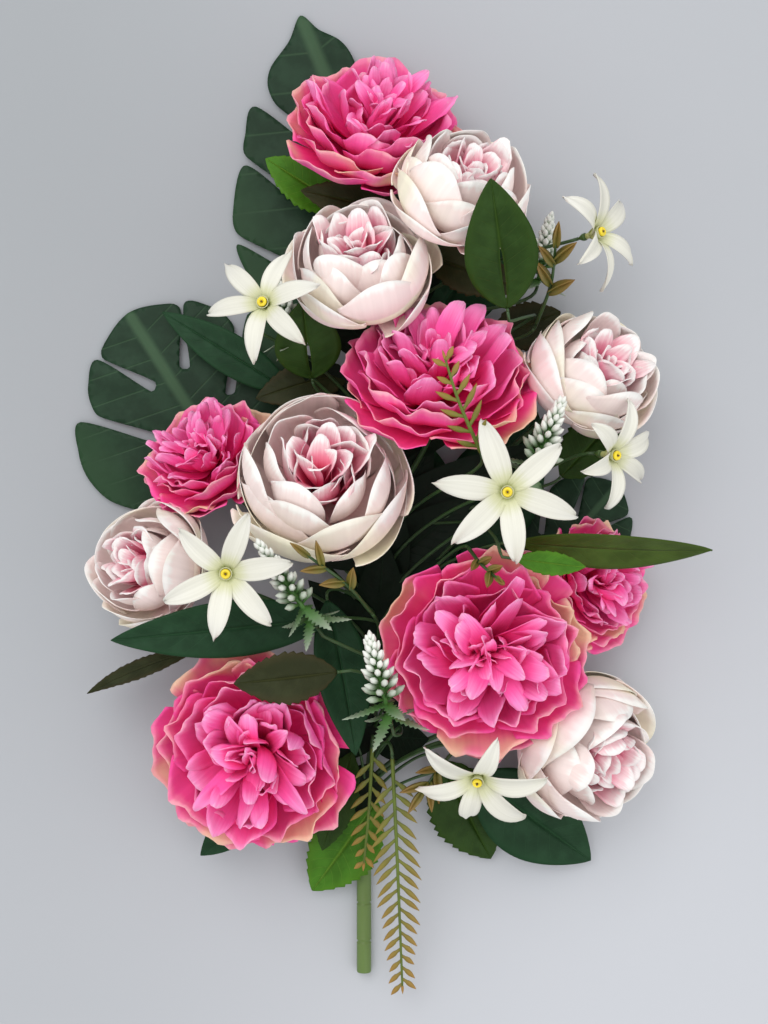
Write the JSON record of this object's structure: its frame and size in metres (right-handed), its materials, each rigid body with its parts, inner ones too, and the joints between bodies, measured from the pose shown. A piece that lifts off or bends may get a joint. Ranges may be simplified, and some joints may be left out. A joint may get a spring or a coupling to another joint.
{
  "type": "artificial peony bush",
  "caption": "Mixed artificial flower bush with ruffled and cupped peonies, lilies, leaves and ferns on a ringed stem, lying on its back.",
  "frame": {"origin": "centre of the handle's cut end face", "axes": "+Y along the handle towards the flowers, +Z out of the bush's front (up, as it lies on its back), +X to the right seen from the front"},
  "size_m": [0.3669, 0.5786, 0.1281],
  "materials": {
    "petal_pink": "hot pink dyed polyester petals, cream at the outer rims",
    "petal_blush": "pale blush polyester petals with whitish rims",
    "lily_white": "off-white fabric petals, yellow at the throat",
    "leaf_dark": "dark green printed fabric, matt",
    "leaf_mid": "mid-green printed fabric, matt",
    "leaf_bright": "bright green printed fabric, matt",
    "leaf_olive": "dark olive fabric, matt",
    "stem_green": "moulded green plastic, satin",
    "frond_olive": "moulded olive plastic, matt",
    "spike_white": "moulded green plastic with whitened tips"
  },
  "bodies": {
    "root": {"backing_leaf_centre": "leaf_dark", "backing_leaf_middle": "leaf_dark", "backing_leaf_top": "leaf_dark", "blush_peony_left": "petal_blush", "blush_peony_lower_right": "petal_blush", "blush_peony_middle": "petal_blush", "blush_peony_right": "petal_blush", "blush_peony_top_right": "petal_blush", "blush_peony_upper": "petal_blush", "bright_leaf_bottom": "leaf_bright", "bright_leaf_middle": "leaf_bright", "bright_leaf_top_left": "leaf_bright", "broad_leaf_bottom_right": "leaf_dark", "bud_sprig_bottom": "frond_olive", "bud_sprig_middle": "frond_olive", "bud_sprig_right": "frond_olive", "bud_sprig_top_right": "frond_olive", "fern_bottom": "frond_olive", "fern_bottom_left": "frond_olive", "fern_upper": "frond_olive", "flower_spike_bottom": "spike_white", "flower_spike_left": "spike_white", "flower_spike_right": "spike_white", "flower_spike_top_right": "spike_white", "flower_spike_upper_left": "spike_white", "folded_leaf_lower_left": "leaf_olive", "handle": "stem_green", "lance_leaf_below_middle": "leaf_dark", "lance_leaf_beside_middle": "leaf_dark", "lance_leaf_centre": "leaf_dark", "lance_leaf_left": "leaf_dark", "lance_leaf_right": "leaf_mid", "lance_leaf_top_right": "leaf_mid", "lance_leaf_upper_left": "leaf_dark", "leaf_beside_bottom": "leaf_mid", "lily_bottom": "lily_white", "lily_left": "lily_white", "lily_middle": "lily_white", "lily_right": "lily_white", "lily_upper_left": "lily_white", "lily_upper_right": "lily_white", "monstera_leaf_left": "leaf_dark", "monstera_leaf_right": "leaf_dark", "monstera_leaf_top": "leaf_dark", "narrow_leaf_left": "leaf_olive", "olive_leaf_middle_left": "leaf_olive", "olive_leaf_right": "leaf_olive", "olive_leaf_top": "leaf_olive", "olive_leaf_upper_right": "leaf_olive", "pink_peony_left": "petal_pink", "pink_peony_lower_left": "petal_pink", "pink_peony_lower_right": "petal_pink", "pink_peony_right": "petal_pink", "pink_peony_top": "petal_pink", "pink_peony_upper": "petal_pink", "round_leaf_upper_left": "leaf_mid", "serrated_leaf_bottom_right": "leaf_mid", "serrated_leaf_right": "leaf_mid", "small_leaf_bottom_left": "leaf_dark", "stems": "stem_green"}
  },
  "joints": []
}
